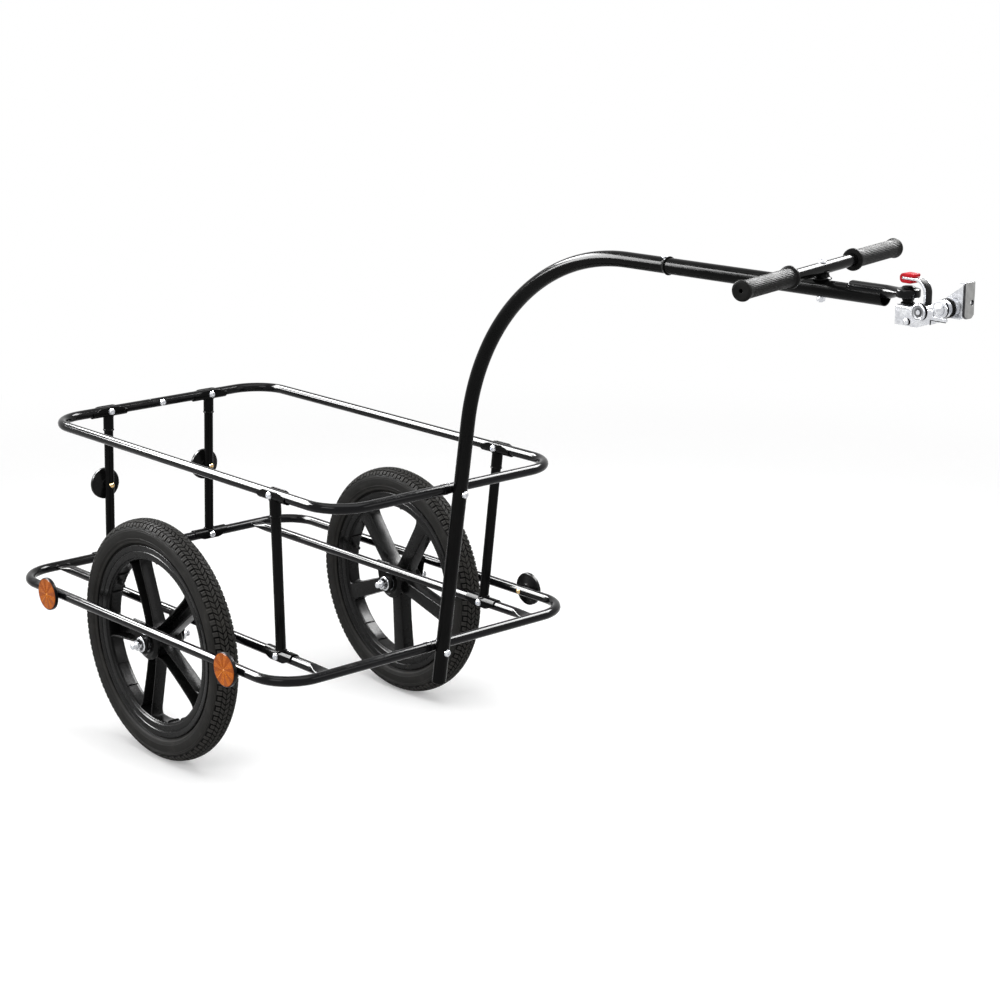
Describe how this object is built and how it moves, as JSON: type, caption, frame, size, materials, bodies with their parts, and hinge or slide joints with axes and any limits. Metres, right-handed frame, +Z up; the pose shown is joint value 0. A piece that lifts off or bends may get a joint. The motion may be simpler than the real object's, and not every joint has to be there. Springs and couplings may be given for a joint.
{
  "type": "bicycle cargo trailer",
  "caption": "Open tube-frame bicycle cargo trailer with spoked plastic wheels, a swan-neck drawbar, a swivelling T-handle and a seat-post coupling on a bicycle bracket.",
  "frame": {"origin": "on the ground, under the middle of the trailer's length and width", "axes": "+X forward along the drawbar towards the bicycle, +Y to the trailer's left, +Z up"},
  "size_m": [1.7666, 0.6286, 0.9338],
  "materials": {
    "gloss_black_paint": "glossy black paint",
    "satin_black_paint": "satin black paint",
    "tyre_rubber": "matte black rubber with a block tread",
    "moulded_nylon": "satin black moulded plastic",
    "zinc_plate": "bright zinc plate",
    "bearing_steel": "ground bearing steel",
    "grip_rubber": "matte ribbed rubber",
    "red_plastic": "glossy red soft plastic",
    "amber_plastic": "clear amber prism plastic",
    "red_lens": "clear red prism plastic",
    "bracket_steel": "pale plated steel",
    "washer_rubber": "black rubber"
  },
  "bodies": {
    "frame": {"top_ring_left": "gloss_black_paint", "top_ring_right": "gloss_black_paint", "lower_ring_left": "gloss_black_paint", "lower_ring_right": "gloss_black_paint", "inner_rail_left": "gloss_black_paint", "inner_rail_right": "gloss_black_paint", "upright_front_left": "satin_black_paint", "upright_front_right": "satin_black_paint", "upright_rear_left": "satin_black_paint", "upright_rear_right": "satin_black_paint", "bolt_front_top_left": "zinc_plate", "bolt_front_top_right": "zinc_plate", "bolt_front_foot_left": "zinc_plate", "bolt_front_foot_right": "zinc_plate", "bolt_rear_top_left": "zinc_plate", "bolt_rear_top_right": "zinc_plate", "bolt_rear_foot_left": "zinc_plate", "bolt_rear_foot_right": "zinc_plate", "axle_plate_outer_left": "satin_black_paint", "axle_plate_outer_right": "satin_black_paint", "axle_plate_inner_left": "satin_black_paint", "axle_plate_inner_right": "satin_black_paint", "top_ring_joint_bolt": "zinc_plate", "lower_ring_joint_bolt": "zinc_plate", "drawbar_bolt_upper": "zinc_plate", "drawbar_bolt_lower": "zinc_plate", "axle_left": "zinc_plate", "axle_right": "zinc_plate", "axle_nut_outer_left": "zinc_plate", "axle_nut_outer_right": "zinc_plate", "axle_nut_inner_left": "zinc_plate", "axle_nut_inner_right": "zinc_plate", "drawbar_lower": "satin_black_paint", "drawbar_upper": "satin_black_paint", "tow_arm": "gloss_black_paint", "side_reflector_front_left": "amber_plastic", "side_reflector_front_right": "amber_plastic", "side_reflector_rear_left": "amber_plastic", "side_reflector_rear_right": "amber_plastic", "rear_reflector_left": "red_lens", "rear_reflector_right": "red_lens"},
    "wheel_assembly_left": {"tyre_left": "tyre_rubber", "wheel_left": "moulded_nylon", "bearing_outer_left": "bearing_steel", "bearing_inner_left": "bearing_steel"},
    "wheel_assembly_right": {"tyre_right": "tyre_rubber", "wheel_right": "moulded_nylon", "bearing_outer_right": "bearing_steel", "bearing_inner_right": "bearing_steel"},
    "lock_button": {"drawbar_lock_button": "zinc_plate"},
    "handle": {"handle_bar": "satin_black_paint", "grip_left": "grip_rubber", "grip_right": "grip_rubber"},
    "coupler": {"coupler_housing": "zinc_plate", "coupler_kingpin": "zinc_plate"},
    "lever": {"coupler_lever": "zinc_plate", "lever_sleeve": "red_plastic"},
    "bicycle_side": {"bike_bracket": "bracket_steel", "hitch_cross_bolt": "zinc_plate", "hitch_washer": "washer_rubber"}
  },
  "joints": [
    {"name": "wheel_left_spin", "type": "hinge", "parent": "frame", "child": "wheel_assembly_left", "pos_m": [-0.4927, 0.251, 0.2], "axis": [0, 1, 0], "continuous": true},
    {"name": "wheel_right_spin", "type": "hinge", "parent": "frame", "child": "wheel_assembly_right", "pos_m": [-0.4927, -0.251, 0.2], "axis": [0, 1, 0], "continuous": true},
    {"name": "lock_button_press", "type": "slide", "parent": "frame", "child": "lock_button", "axis": [0, 0, -1], "range_m": [0, 0.003], "stiffness_N_per_m": 400, "springref_m": -0.002},
    {"name": "handle_swivel", "type": "hinge", "parent": "frame", "child": "handle", "pos_m": [0.6573, 0, 0.92], "axis": [0, 0, 1], "range_deg": [-57, 32]},
    {"name": "coupler_turn", "type": "hinge", "parent": "frame", "child": "coupler", "pos_m": [0.7943, 0, 0.9071], "axis": [0, 0, 1], "range_deg": [-75, 75]},
    {"name": "lever_lift", "type": "hinge", "parent": "coupler", "child": "lever", "pos_m": [0.8238, 0, 0.88901], "axis": [0, 1, 0], "range_deg": [0, 50]},
    {"name": "bracket_tilt", "type": "hinge", "parent": "coupler", "child": "bicycle_side", "pos_m": [0.8523, 0, 0.89601], "axis": [0, 1, 0], "range_deg": [-35, 35]}
  ]
}
